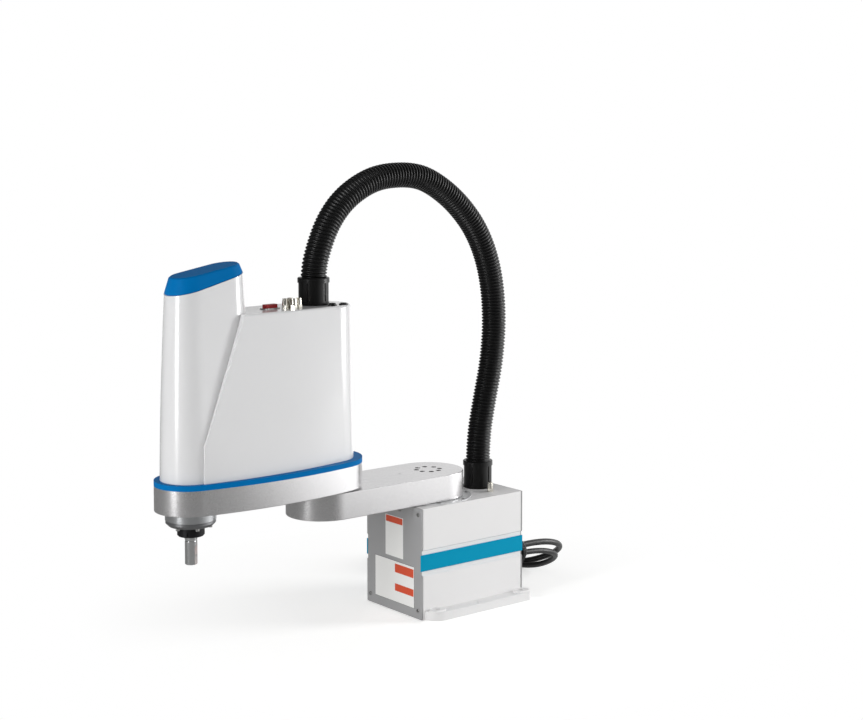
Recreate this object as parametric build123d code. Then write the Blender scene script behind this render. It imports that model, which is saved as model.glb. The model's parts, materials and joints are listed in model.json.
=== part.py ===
from build123d import *
from math import atan2, cos, degrees, hypot, pi, radians, sin, sqrt, tan
import os

os.makedirs("parts", exist_ok=True)

# A four-axis selective compliance robot arm, in millimetres.
# The origin is on the first joint's axis, on the mounting surface. +Z is up.
# At rest both arms point along -X, and the rear of the base, with its cables, faces +X.

# Reach, travel and clearances
arm_1_length = 230.0
arm_2_length = 270.0
arm_2_rest_angle = 3.8
quill_stroke = 150.0
screw_lead = 20.0
running_gap = 0.3
fit_clearance = 0.05
cover_gap = 0.4

# Base casting and its feet
base_length = 233.0
base_front_x = -77.0
base_width = 160.0
base_height = 197.5
base_wall = 8.0
base_floor = 12.0
base_roof = 14.0
base_corner_radius = 2.5
panel_thickness = 2.0
gusset = 14.0
foot_reach = 23.5
foot_thickness = 15.5
foot_setback = 7.0
foot_overhang = 4.0
foot_front_radius = 30.0
foot_rear_radius = 8.0
mount_centre_x = 47.5
mount_spacing_x = 195.0
mount_spacing_y = 180.0
mount_hole_radius = 4.5
mount_boss_length = 34.0
mount_boss_width = 21.0
mount_boss_height = 3.0
dowel_x = 39.0
dowel_y = 94.0
dowel_radius = 2.5

# Trim strips in their channels
strip_z = 101.2
strip_height = 28.5
strip_thickness = 3.6
strip_overhang = 1.0
strip_chamfer = 1.4
channel_depth = 2.6
channel_border = 6.5

# First joint
j1_bore_radius = 45.0
j1_flange_radius = 42.0
j1_hub_radius = 21.0
j1_reducer_height = 40.0
j1_reducer_radius = 58.0
j1_ring_radius = 78.0
j1_ring_height = 1.5
j1_ring_screw_circle = 71.0
j1_screw_circle = 21.5
j1_screw_count = 8
cap_head_radius = 4.2
cap_head_height = 5.0
cap_shank_radius = 2.5
cap_hex_radius = 2.3
counterbore_depth = 11.0
counterbore_radius = 4.8
motor_square = 60.0
motor_length = 84.0
motor_shaft_radius = 7.0

# First arm
arm_1_radius = 63.5
arm_1_height = 45.5
arm_1_gap = 2.0
arm_1_edge = 1.2
arm_1_wall = 8.0
arm_1_pocket_depth = 34.0
arm_1_pocket_corner = 10.0
arm_1_cover_thickness = 2.0
arm_1_hole_x = -64.0
arm_1_hole_radius = 2.0

# Second joint
j2_reducer_radius = 44.0
j2_reducer_height = 32.0
j2_flange_radius = 36.0
j2_hub_radius = 15.0
j2_motor_square = 50.0
j2_motor_length = 110.0
arm_2_gap = 4.0

# Second arm's casting, a convex outline of four arcs
arm_2_front_radius = 58.0
arm_2_rear_radius = 74.0
arm_2_half_width = 80.0
arm_2_rear_shift = -8.0
arm_2_height = 41.0
arm_2_floor = 8.0
arm_2_wall = 8.0
arm_2_edge = 1.0
arm_2_boss_radius = 6.0
gasket_height = 8.5
gasket_width = 19.0

# Covers
cover_front_radius = 52.0
cover_rear_radius = 59.2
cover_half_width = 68.0
cover_top_front_radius = 46.0
cover_top_rear_radius = 50.5
cover_top_half_width = 51.0
cover_top_shift = -2.0
cover_height = 261.5
cover_wall = 3.0
cover_top_round = 5.0
cover_foot_reach = 8.0
cover_knee_reach = 6.0
cover_knee_height = 59.5
cover_top_setback = 74.0
tower_radius = 48.5
tower_depth = 61.5
tower_height = 300.0
tower_lean = 0.01555
tower_curve = 0.0000629
tower_sections = 4
tower_window_lap = 8.0
seam_height = 305.3
seam_slope = 13.6
cap_height = 328.5
cap_slope = 9.4
cap_inset = 8.0
cap_chamfer = 2.0

# Conduit and its connectors
hose_diameter = 39.0
hose_bore = 30.0
base_fitting_x = 117.3
base_fitting_radius = 25.6
base_fitting_height = 49.5
arm_fitting_x = -17.5
arm_fitting_height = 46.0
fitting_collar_radius = 27.2
fitting_collar_height = 8.5
fitting_thread_radius = 19.0

# Quill
shaft_radius = 10.0
shaft_bore_radius = 5.5
shaft_end_length = 38.0
shaft_relief_width = 2.0
shaft_relief_radius = 9.0
shaft_drop = 89.0
shaft_flat_length = 30.0
shaft_flat_depth = 1.0
shaft_dimple_radius = 2.2
collar_radius = 16.0
collar_height = 14.0
collar_stop_gap = 1.5
shaft_tip = 4.0
nut_radius = 17.0
spline_nut_rise = 69.0
lock_nut_radius = 22.0
lock_nut_height = 17.0
quill_flange_radius = 41.0
quill_flange_height = 16.0
quill_ring_height = 9.0
quill_ring_chamfer = 5.0
quill_screw_circle = 31.5
quill_screw_count = 6
bearing_outer_radius = 28.0
bearing_width = 12.0
screw_nut_rise = 89.0
screw_nut_height = 46.0

# Belt drives
pulley_radius = 24.0
motor_pulley_radius = 12.0
belt_width = 10.0
belt_thickness = 1.5
belt_gap = 0.4
spin_belt_rise = 59.0
z_belt_rise = 101.0
drive_motor_square = 40.0
drive_motor_length = 82.0
drive_motor_setback = 95.0
drive_motor_y = 27.0
drive_shaft_radius = 4.0
bracket_thickness = 6.0
bracket_width = 46.0

# Small fittings
gland_y = -50.0
gland_z = 79.0
gland_radius = 24.0
gland_length = 22.0
air_fitting_x = 108.0
air_fitting_y = -46.0
air_fitting_radius = 5.0
air_fitting_height = 17.0
arm_air_places = [(-93.0, -20.0), (-83.0, -31.0), (-80.0, -16.0), (-70.0, -27.0)]
connector_x = -112.0
connector_y = -4.0
connector_length = 25.0
connector_width = 12.0
connector_height = 5.0
connector_cap_height = 6.0
button_x = -5.0
button_y = -35.0
button_radius = 5.5
button_height = 3.0
button_travel = 2.5
button_stem = 10.0
bezel_radius = 8.0
bezel_height = 1.5
plug_shift = 24.0
rear_connector_y = 30.0
rear_connector_z = 120.0

# Cables
power_diameter = 11.5
signal_diameter = 10.5
coil_x = 190.0
coil_y = 192.0
coil_turns_across = 3
coil_layers = 2
power_coil_radius = 65.0
signal_coil_radius = 60.0
plug_radius = 12.0
plug_length = 48.0
sheath_radius = 8.0
sheath_length = 22.0
lead_start_x = 168.0

# Heights that follow from the stack
base_rear_x = base_front_x + base_length
base_mid_x = (base_front_x + base_rear_x) / 2
arm_1_z = base_height + arm_1_gap
arm_1_top = arm_1_z + arm_1_height
arm_2_z = arm_1_top + arm_2_gap
arm_2_top = arm_2_z + arm_2_height
gasket_top = arm_2_top + gasket_height
cover_top_z = gasket_top + cover_height
cover_knee_z = gasket_top + cover_knee_height
seam_z = gasket_top + seam_height
cap_top_z = gasket_top + cap_height
cover_front_foot = arm_2_length + cover_foot_reach
cover_front_knee = arm_2_length + cover_knee_reach
cover_front_top = arm_2_length - cover_top_setback
drive_motor_x = drive_motor_setback - arm_2_length
spin_belt_z = arm_2_z + spin_belt_rise
z_belt_z = arm_2_z + z_belt_rise
spline_nut_top_z = arm_2_z + spline_nut_rise
screw_nut_bottom_z = arm_2_z + screw_nut_rise
shaft_bottom_z = arm_2_z - shaft_drop
quill_flange_z = arm_2_z - quill_flange_height
quill_ring_z = quill_flange_z - quill_ring_height
lock_nut_z = quill_ring_z - lock_nut_height - running_gap
screw_nut_top_z = screw_nut_bottom_z + screw_nut_height
collar_z = screw_nut_top_z + quill_stroke + collar_stop_gap
shaft_top_z = collar_z + collar_height + shaft_tip
tower_front_x = -arm_2_length
tower_rear_x = tower_front_x + tower_depth
side_y = base_width / 2
bearing_inner_radius = nut_radius
shaft_clear_radius = shaft_radius + fit_clearance


def pillar(radius, bottom, top, x=0.0, y=0.0):
    """Upright cylinder between two heights."""
    return Pos(x, y, bottom) * extrude(Circle(radius), top - bottom)


def tube(outer, inner, bottom, top, x=0.0, y=0.0):
    """Upright ring between two heights."""
    return Pos(x, y, bottom) * extrude(Circle(outer) - Circle(inner), top - bottom)


def block(x0, x1, y0, y1, z0, z1):
    """Box between two corners."""
    return Pos((x0 + x1) / 2, (y0 + y1) / 2, (z0 + z1) / 2) * Box(x1 - x0, y1 - y0, z1 - z0)


def bar(diameter, bottom, top):
    """Square rounded body of a motor, between two heights."""
    return Pos(0, 0, bottom) * extrude(RectangleRounded(diameter, diameter, diameter * 0.1), top - bottom)


def joined(solids):
    """Keeps separate solids together as one piece of the model."""
    flat = []
    for solid in solids:
        flat += list(solid.solids())
    return Compound(children=flat) if len(flat) > 1 else flat[0]


def on_arm_2(shape):
    """Turns a piece from the second arm's own frame to its place at rest."""
    return Pos(-arm_1_length, 0, 0) * Rot(0, 0, arm_2_rest_angle) * shape


def slot(x0, x1, radius):
    """Outline of two equal circles and their tangents, with four edges."""
    edges = [
        Line((x0, radius), (x1, radius)),
        ThreePointArc((x1, radius), (x1 + radius, 0), (x1, -radius)),
        Line((x1, -radius), (x0, -radius)),
        ThreePointArc((x0, -radius), (x0 - radius, 0), (x0, radius)),
    ]
    return make_face(edges)


def boat(front_radius, half_width, rear_radius, rear_x, inset=0.0):
    """Convex outline of an end arc on each joint and a long side arc tangent to both."""
    front_x = -arm_2_length
    span = rear_x - front_x
    low, high = half_width, 40 * span
    for _ in range(60):
        middle = (low + high) / 2
        reach = sqrt((half_width - rear_radius) * (2 * middle - half_width - rear_radius))
        reach += sqrt((half_width - front_radius) * (2 * middle - half_width - front_radius))
        low, high = (middle, high) if reach < span else (low, middle)
    side_radius = middle
    shift = sqrt((half_width - rear_radius) * (2 * side_radius - half_width - rear_radius))
    side_x, side_y_centre = rear_x - shift, side_radius - half_width

    def touch(x, radius, sign):
        along, across = x - side_x, side_y_centre
        length = hypot(along, across)
        return (x + (radius - inset) * along / length, sign * (radius - inset) * across / length)

    rear_top, rear_low = touch(rear_x, rear_radius, 1), touch(rear_x, rear_radius, -1)
    front_top, front_low = touch(front_x, front_radius, 1), touch(front_x, front_radius, -1)
    edges = [
        ThreePointArc(rear_top, (side_x, half_width - inset), front_top),
        ThreePointArc(front_top, (front_x - front_radius + inset, 0), front_low),
        ThreePointArc(front_low, (side_x, inset - half_width), rear_low),
        ThreePointArc(rear_low, (rear_x + rear_radius - inset, 0), rear_top),
    ]
    return make_face(edges)


def arm_2_outline(inset=0.0):
    """Plan of the second arm's casting."""
    return boat(arm_2_front_radius, arm_2_half_width, arm_2_rear_radius, arm_2_rear_shift, inset)


def cap_screw(x, y, head_z, length, up=1):
    """Socket head cap screw, its head above or below its shank."""
    head = pillar(cap_head_radius, 0, cap_head_height)
    socket = Pos(0, 0, cap_head_height * 0.5) * extrude(RegularPolygon(cap_hex_radius, 6), cap_head_height)
    shank = pillar(cap_shank_radius - fit_clearance, -length, 0)
    screw = head - socket + shank
    return Pos(x, y, head_z) * (screw if up > 0 else Rot(180, 0, 0) * screw)


def base_casting():
    """Hollow box, open at both ends, with side feet, bosses and trim channels."""
    x0, x1 = base_front_x + panel_thickness, base_rear_x - panel_thickness
    body = block(x0, x1, -side_y, side_y, 0, base_height)
    body = fillet(body.edges().filter_by(Axis.Z), base_corner_radius)
    foot_x0, foot_x1 = base_front_x + foot_setback, base_rear_x + foot_overhang
    foot_y = side_y + foot_reach
    foot = block(foot_x0, foot_x1, -foot_y, foot_y, 0, foot_thickness)
    uprights = foot.edges().filter_by(Axis.Z)
    foot = fillet(uprights.filter_by_position(Axis.X, foot_x0 - 1, foot_x0 + 1), foot_front_radius)
    rear = foot.edges().filter_by(Axis.Z).filter_by_position(Axis.X, foot_x1 - 1, foot_x1 + 1)
    foot = fillet(rear, foot_rear_radius)
    foot = chamfer(foot.faces().sort_by(Axis.Z)[-1].edges(), 1.2)
    body = body + foot
    body -= block(x1, foot_x1 + 1, -side_y - cover_gap, side_y + cover_gap, -1, foot_thickness + 1)
    boss = extrude(SlotOverall(mount_boss_length, mount_boss_width), mount_boss_height, taper=12)
    for x in (-1, 1):
        for y in (-1, 1):
            place = (mount_centre_x + x * mount_spacing_x / 2, y * mount_spacing_y / 2)
            body += Pos(place[0], place[1], foot_thickness) * boss
    inside_y = side_y - base_wall
    body -= block(x0 - 1, x1 + 1, -inside_y, inside_y, base_floor, base_height - base_roof)
    for y in (-1, 1):
        for z in (base_floor, base_height - base_roof):
            corner_y = y * inside_y
            z_in = z + gusset if z == base_floor else z - gusset
            for x in (x0, x1 - gusset):
                low_y, high_y = sorted((corner_y, corner_y - y * gusset))
                body += block(x, x + gusset, low_y, high_y, min(z, z_in), max(z, z_in))
    for x in (-1, 1):
        for y in (-1, 1):
            place = (mount_centre_x + x * mount_spacing_x / 2, y * mount_spacing_y / 2)
            body -= pillar(mount_hole_radius, -1, foot_thickness + mount_boss_height + 1, *place)
    for y in (-1, 1):
        body -= pillar(dowel_radius, -1, foot_thickness + 1, dowel_x, y * dowel_y)
    body -= pillar(j1_bore_radius, base_height - base_roof - 1, base_height + 1)
    body -= pillar(fitting_thread_radius, base_height - base_roof - 1, base_height + 1, base_fitting_x)
    return body - strip_channels()


def strip_channels():
    """Bevelled grooves along both sides of the base, which hold the trim strips."""
    low = strip_z - strip_height / 2 - channel_border
    high = strip_z + strip_height / 2 + channel_border
    outline = Polyline(
        (side_y, low - channel_depth),
        (side_y - channel_depth, low),
        (side_y - channel_depth, high),
        (side_y, high + channel_depth),
        close=True,
    )
    groove = Pos(base_mid_x, 0, 0) * extrude(Plane.YZ * make_face(outline), base_length, both=True)
    return groove + mirror(groove, Plane.XZ)


def end_panel(x0, hole=None):
    """Sheet cover over one open end of the base."""
    plate = block(x0, x0 + panel_thickness, -side_y, side_y, 0.5, base_height)
    plate = fillet(plate.edges().filter_by(Axis.X), 1.5) - strip_channels()
    return plate - hole if hole else plate


def panel_screw_places():
    """Where the panel screws stand, as y and z."""
    high, low = base_height - 11.7, 16.0
    return [(-69.5, high), (69.5, high), (-18.0, high), (18.0, high), (-69.5, low), (69.5, low)]


def base_screws():
    """Pan head panel screws and the countersunk screws of the ring on top."""
    screws = []
    for y, z in panel_screw_places():
        for x, turn in ((base_front_x, -90), (base_rear_x, 90)):
            head = extrude(Circle(3.4), 1.6)
            head = fillet(head.faces().sort_by(Axis.Z)[-1].edges(), 0.8)
            head -= Pos(0, 0, 0.8) * extrude(RegularPolygon(1.5, 6), 1.0)
            screws.append(Pos(x, y, z) * Rot(0, turn, 0) * head)
    for place in ring_screw_places():
        top = base_height + j1_ring_height
        head = Pos(place[0], place[1], base_height) * ring_countersink()
        screws.append(head - pillar(1.6, top - 0.8, top + 1, *place))
    return joined(screws)


def ring_screw_places():
    """Eight screw places round the first joint's ring."""
    spots = []
    for i in range(8):
        angle = radians(22.5 + 45 * i)
        spots.append((j1_ring_screw_circle * cos(angle), j1_ring_screw_circle * sin(angle)))
    return spots


def ring_countersink():
    """Countersunk shape through the ring, the same for hole and screw."""
    return Cone(2.0, 4.0, j1_ring_height, align=(Align.CENTER, Align.CENTER, Align.MIN))


def j1_ring():
    """Flat bearing cover ring on top of the base."""
    ring = tube(j1_ring_radius, j1_bore_radius + 3, base_height, base_height + j1_ring_height)
    for place in ring_screw_places():
        ring -= Pos(place[0], place[1], base_height) * ring_countersink()
    return ring


def strip(side):
    """Bevelled trim strip, seated on the floor of its channel."""
    y0 = side_y - channel_depth
    length = base_length + 2 * strip_overhang
    piece = Box(length, strip_thickness, strip_height)
    outer = piece.faces().sort_by(Axis.Y)[-1]
    piece = chamfer(outer.edges(), strip_chamfer)
    piece = Pos(base_mid_x, y0 + strip_thickness / 2, strip_z) * piece
    return piece if side > 0 else mirror(piece, Plane.XZ)


def j1_reducer():
    """Strain-wave reducer, its flange under the roof of the base."""
    under = base_height - base_roof
    floor = under - j1_reducer_height + base_roof
    body = pillar(j1_bore_radius - 0.1, floor, base_height - 7.5)
    body += pillar(j1_reducer_radius, under - 10, under)
    body -= pillar(j1_hub_radius, floor + 16, base_height)
    body -= pillar(motor_shaft_radius + running_gap, floor - 1, floor + 17)
    return body


def j1_motor():
    """Servo motor hung below the reducer."""
    top = base_height - j1_reducer_height
    flange = bar(motor_square + 4, top - 6, top)
    case = bar(motor_square, top - motor_length, top - 6)
    lid = bar(motor_square - 10, top - motor_length - 18, top - motor_length)
    return flange + case + lid + pillar(motor_shaft_radius, top, top + 12)


def j1_output_flange():
    """Output flange of the first joint, with its hub down in the reducer."""
    flange = pillar(j1_flange_radius, base_height - 7.5 + running_gap, arm_1_z)
    hub_floor = base_height - j1_reducer_height + 16 + running_gap
    flange += pillar(j1_hub_radius - running_gap, hub_floor, base_height)
    for place in arm_1_screw_places():
        flange -= pillar(cap_shank_radius, arm_1_z - 8, arm_1_z + 1, *place)
    return flange


def arm_1_screw_places():
    """The ring of cap screws over the first joint."""
    spots = []
    for i in range(j1_screw_count):
        angle = 2 * pi * (i + 0.5) / j1_screw_count
        spots.append((j1_screw_circle * cos(angle), j1_screw_circle * sin(angle)))
    return spots


def j1_screws():
    """Cap screws sunk in the first arm's top."""
    head_z = arm_1_top - counterbore_depth
    length = head_z - arm_1_z + 7.5
    return joined([cap_screw(x, y, head_z, length) for x, y in arm_1_screw_places()])


def arm_1_casting():
    """Flat link with a pocket below and the second joint's bore above."""
    body = Pos(0, 0, arm_1_z) * extrude(slot(-arm_1_length, 0, arm_1_radius), arm_1_height)
    body = fillet(body.faces().sort_by(Axis.Z)[-1].edges(), arm_1_edge)
    body = fillet(body.faces().sort_by(Axis.Z)[0].edges(), arm_1_edge)
    pocket_half = arm_1_radius - arm_1_wall
    x0, x1 = -arm_1_length + j2_reducer_radius + 10, -j1_flange_radius - 6
    outline = RectangleRounded(x1 - x0, 2 * pocket_half, arm_1_pocket_corner)
    pocket = Pos((x0 + x1) / 2, 0, arm_1_z) * extrude(outline, arm_1_pocket_depth)
    rib = block(x0, x1, -3, 3, arm_1_z + arm_1_cover_thickness, arm_1_z + arm_1_pocket_depth)
    body -= pocket - rib
    for x, y in arm_1_screw_places():
        body -= pillar(cap_shank_radius + fit_clearance, arm_1_z - 1, arm_1_top, x, y)
        body -= pillar(counterbore_radius, arm_1_top - counterbore_depth, arm_1_top + 1, x, y)
    body -= pillar(j2_reducer_radius, arm_1_top - j2_reducer_height + 2, arm_1_top + 1, -arm_1_length)
    body -= pillar(arm_1_hole_radius, arm_1_top - 8, arm_1_top + 1, arm_1_hole_x)
    return body


def arm_1_cover():
    """Plate that closes the first arm's pocket."""
    pocket_half = arm_1_radius - arm_1_wall
    x0, x1 = -arm_1_length + j2_reducer_radius + 10, -j1_flange_radius - 6
    shape = RectangleRounded(x1 - x0 - cover_gap, 2 * pocket_half - cover_gap, arm_1_pocket_corner)
    return Pos((x0 + x1) / 2, 0, arm_1_z) * extrude(shape, arm_1_cover_thickness)


def j2_reducer():
    """Fixed part of the second joint's reducer, sunk in the first arm."""
    floor = arm_1_top - j2_reducer_height + 2
    top = arm_1_top + 2
    body = pillar(j2_reducer_radius, floor, top)
    body -= pillar(j2_flange_radius + running_gap, top - 9, top + 1)
    body -= pillar(j2_hub_radius + running_gap, floor + 8, top)
    return Pos(-arm_1_length, 0, 0) * body


def j2_output_flange():
    """Output flange of the second joint, with its hub, bored for the motor's shaft."""
    top = arm_1_top + 2
    body = pillar(j2_flange_radius, top - 9 + running_gap, arm_2_z)
    body += pillar(j2_hub_radius, arm_1_top - j2_reducer_height + 2 + 8 + running_gap, top)
    return body - pillar(motor_shaft_radius + running_gap, top - 20, arm_2_z + 1)


def j2_motor():
    """Servo motor of the second joint, on the floor of the second arm."""
    floor = arm_2_z + arm_2_floor
    flange = bar(j2_motor_square + 6, floor, floor + 6)
    case = bar(j2_motor_square, floor + 6, floor + j2_motor_length)
    lid = bar(j2_motor_square - 10, floor + j2_motor_length, floor + j2_motor_length + 16)
    return flange + case + lid + pillar(motor_shaft_radius, floor - 18, floor)


def arm_2_casting():
    """Tray with hubs over both joints, side ribs and bosses for the covers."""
    body = Pos(0, 0, arm_2_z) * extrude(arm_2_outline(), arm_2_height)
    body = fillet(body.faces().sort_by(Axis.Z)[0].edges(), arm_2_edge)
    floor = arm_2_z + arm_2_floor
    body -= Pos(0, 0, floor) * extrude(arm_2_outline(arm_2_wall), arm_2_height)
    body += pillar(bearing_outer_radius + 7, floor, floor + bearing_width + 6, -arm_2_length)
    for y in (-1, 1):
        rib_y = y * (bearing_outer_radius + 2)
        body += block(-arm_2_length + 26, -j2_motor_square * 0.6, rib_y - 3, rib_y + 3, floor, floor + 14)
    for x, y in cover_boss_places():
        body += pillar(arm_2_boss_radius, floor, arm_2_top - 1, x, y)
    body -= pillar(motor_shaft_radius + 1, arm_2_z - 1, floor + 1)
    body -= pillar(nut_radius + 1, arm_2_z - 1, floor + 1, -arm_2_length)
    body -= pillar(bearing_outer_radius, floor - 2, arm_2_top, -arm_2_length)
    return body


def cover_boss_places():
    """Bosses inside the tray's wall that take the cover screws."""
    return [(-20, 62), (-20, -62), (-130, 66), (-130, -66), (-225, 52), (-225, -52)]


def cover_gasket():
    """Blue band between casting and covers, with a ledge outside the covers' foot."""
    ring = arm_2_outline() - arm_2_outline(gasket_width)
    band = Pos(0, 0, arm_2_top) * extrude(ring, gasket_height)
    return band


def tower_half_width(z):
    """Half the tower's width at a height: it leans in, faster towards its top."""
    height = z - gasket_top
    return tower_radius - tower_lean * height - tower_curve * height * height


def tower_column(grow, bottom=0.0):
    """Solid column that the tower's shell is cut from, offset by a given growth."""
    sections = []
    for i in range(tower_sections):
        z = gasket_top + bottom + (tower_height - bottom) * i / (tower_sections - 1)
        sections.append(Pos(0, 0, z) * slot(tower_front_x, tower_rear_x, tower_half_width(z) + grow))
    top = gasket_top + tower_height + 50
    lift = tower_half_width(gasket_top + tower_height) - 2.6 + grow
    sections.append(Pos(0, 0, top) * slot(tower_front_x, tower_rear_x, lift))
    return loft(sections)


def sloped_plane(z, slope):
    """Plane across the second arm that rises towards the rear."""
    return Plane(origin=(tower_front_x, 0, z), x_dir=(cos(radians(slope)), 0, sin(radians(slope))),
                 z_dir=(-sin(radians(slope)), 0, cos(radians(slope))))


def tower_cover():
    """Front shell round the quill, open behind, where the main cover closes it."""
    seam = sloped_plane(seam_z, seam_slope)
    shell = split(tower_column(0), bisect_by=seam, keep=Keep.BOTTOM)
    shell -= split(tower_column(-cover_wall), bisect_by=seam.offset(-cover_wall), keep=Keep.BOTTOM)
    shell -= behind_front(tower_window_lap, cover_top_z - 2 * cover_wall)
    hole = pillar(collar_radius + 6, cover_top_z, cover_top_z + 100, tower_front_x)
    return shell - hole


def cap_body(grow, drop):
    """Solid between the seam and the top plane, its sides drawn in."""
    seam = sloped_plane(seam_z, seam_slope)
    top = sloped_plane(cap_top_z - drop, cap_slope)
    low = split(tower_column(grow), bisect_by=seam, keep=Keep.TOP).faces().sort_by(Axis.Z)[0]
    half = tower_half_width(gasket_top + tower_height) - cap_inset + grow
    prism = Pos(0, 0, gasket_top) * extrude(slot(tower_front_x, tower_rear_x, half), tower_height * 2)
    high = split(prism, bisect_by=top, keep=Keep.BOTTOM).faces().sort_by(Axis.Z)[-1]
    return loft([low, high], ruled=True)


def tower_cap():
    """Blue lid whose sides draw in to a sloping top, hollow below."""
    lid = cap_body(0, 0)
    lid = chamfer(lid.faces().sort_by(Axis.Z)[-1].edges(), cap_chamfer)
    return lid - cap_body(-cover_wall, cover_wall)


def cover_body(inset):
    """Solid that the main cover's shell is cut from."""
    low = boat(cover_front_radius, cover_half_width, cover_rear_radius, arm_2_rear_shift, inset)
    high = boat(cover_top_front_radius, cover_top_half_width, cover_top_rear_radius, cover_top_shift, inset)
    body = loft([Pos(0, 0, gasket_top) * low, Pos(0, 0, cover_top_z) * high], ruled=True)
    return body


def front_line(offset):
    """Main cover's front edge in side view, from its foot to its top."""
    return [
        (-cover_front_foot + offset, gasket_top - 5),
        (-cover_front_knee + offset, cover_knee_z),
        (-cover_front_top + offset, cover_top_z),
    ]


def side_prism(points):
    """Prism right across the second arm, from an outline in side view."""
    return extrude(Plane.XZ * make_face(Polyline(*points, close=True)), 120, both=True)


def front_cut(offset):
    """Everything ahead of the main cover's sloping front edge."""
    far = -arm_2_length - 120
    top = (-cover_front_top + offset, cover_top_z + 5)
    return side_prism([*front_line(offset), top, (far, cover_top_z + 5), (far, gasket_top - 5)])


def behind_front(offset, top_z):
    """Everything behind the main cover's front edge, up to a height."""
    foot, knee, top = front_line(offset)
    share = (top_z - cover_knee_z) / (cover_top_z - cover_knee_z)
    corner = (knee[0] + (top[0] - knee[0]) * share, top_z)
    return side_prism([foot, knee, corner, (0, top_z), (0, gasket_top - 5)])


def main_cover():
    """Moulded shell over the motors, with bevelled front edges."""
    body = cover_body(0)
    body = fillet(body.faces().sort_by(Axis.Z)[-1].edges(), cover_top_round)
    body -= front_cut(0)
    inner = Pos(0, 0, -cover_wall) * cover_body(cover_wall) - front_cut(cover_wall)
    shell = body - inner
    shell -= tower_column(cover_gap)
    shell -= pillar(fitting_thread_radius, cover_top_z - 10, cover_top_z + 1, arm_fitting_x)
    shell -= pillar(button_radius + running_gap, cover_top_z - 10, cover_top_z + 1, button_x, button_y)
    return shell


def hose_fitting(height):
    """Conduit connector: ribbed body, locking collar and grip slots, its foot at z = 0."""
    body = pillar(base_fitting_radius, 0, height - fitting_collar_height)
    body += pillar(fitting_collar_radius, height - fitting_collar_height, height)
    body = chamfer(body.faces().sort_by(Axis.Z)[-1].edges(), 1.2)
    body += pillar(base_fitting_radius + 1.2, 0, 3.5)
    body += pillar(fitting_thread_radius - 0.3, -12, 0)
    body -= pillar(hose_diameter / 2 + 0.1, height - 16, height + 1)
    body -= pillar(hose_bore / 2, -13, height)
    for i in range(4):
        inner, outer = base_fitting_radius - 1.5, base_fitting_radius + 1.0
        grip = block(inner, outer, -4, 4, 6, height - fitting_collar_height)
        body += Rot(0, 0, 20 + 90 * i) * grip
    return body


def cable_gland():
    """Round gland with a flange, a grooved nut and a domed mouth."""
    profile = [(0, 0), (gland_radius, 0), (gland_radius, 4), (gland_radius - 2, 5), (gland_radius - 2, 8),
               (gland_radius, 9), (gland_radius, 15), (gland_radius - 5, gland_length), (0, gland_length)]
    body = revolve(Plane.XZ * make_face(Polyline(*profile, close=True)), Axis.Z)
    for y, z, diameter in gland_exits():
        body -= Pos(-z, y, 0) * extrude(Circle(diameter / 2 + 0.2), gland_length + 1)
    body = Rot(0, 90, 0) * body
    return Pos(base_rear_x, gland_y, gland_z) * body


def gland_exits():
    """Offsets from the gland's centre, and diameters, of the cables that leave it."""
    return [(0.0, 8.0, power_diameter), (0.0, -6.5, signal_diameter)]


def air_fitting():
    """Push-in air fitting: hexagon, barrel and release ring, its foot at z = 0."""
    body = extrude(RegularPolygon(air_fitting_radius + 1.0, 6), 6)
    body += pillar(air_fitting_radius, 6, air_fitting_height - 3)
    body += pillar(air_fitting_radius - 1.0, air_fitting_height - 3, air_fitting_height - 1.5)
    body += pillar(air_fitting_radius - 0.4, air_fitting_height - 1.5, air_fitting_height)
    return body - pillar(2.1, 8, air_fitting_height + 1)


def d_shell(length, width, height):
    """Rounded D-shaped block of a signal connector."""
    return extrude(RectangleRounded(length, width, 3), height)


def arm_connector():
    """Signal connector's shell and flange on the main cover."""
    base = extrude(RectangleRounded(connector_length + 8, connector_width + 1, 2), 1.5)
    return base + Pos(0, 0, 1.5) * d_shell(connector_length - 3, connector_width - 3, connector_height - 1.5)


def connector_cap():
    """Dust cap that sits over the connector."""
    cap = Pos(0, 0, 1.5) * d_shell(connector_length, connector_width, connector_cap_height)
    return cap - Pos(0, 0, 0) * d_shell(connector_length - 3, connector_width - 3, connector_height)


def rear_connector():
    """User signal connector on the rear panel."""
    place = Pos(base_rear_x, rear_connector_y, rear_connector_z)
    return place * Rot(0, 90, 0) * Rot(0, 0, 90) * arm_connector()


def button_bezel():
    """Ring round the brake release button, and a blanking plug behind it."""
    ring = tube(bezel_radius, button_radius + running_gap, 0, bezel_height)
    plug = pillar(bezel_radius, 0, bezel_height) + pillar(button_radius, bezel_height, bezel_height + 1.5)
    return joined([ring, Pos(plug_shift, 0, 0) * plug])


def brake_button():
    """Press button that frees the quill's brake."""
    button = pillar(button_radius, -button_stem, bezel_height + button_height)
    return fillet(button.faces().sort_by(Axis.Z)[-1].edges(), 1.2)


def quill_flange():
    """Turned flange below the second arm that holds the spline nut's lower bearing."""
    body = tube(quill_flange_radius, nut_radius + 2, quill_flange_z, arm_2_z, -arm_2_length)
    return chamfer(body.faces().sort_by(Axis.Z)[0].edges().sort_by(SortBy.LENGTH)[-1:], 0.8)


def quill_ring():
    """Dark retaining ring below the flange, chamfered round its lower edge."""
    body = tube(quill_flange_radius - 0.6, nut_radius + 2, quill_ring_z, quill_flange_z, -arm_2_length)
    body = chamfer(body.faces().sort_by(Axis.Z)[0].edges().sort_by(SortBy.LENGTH)[-1:], quill_ring_chamfer)
    return body


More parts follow.
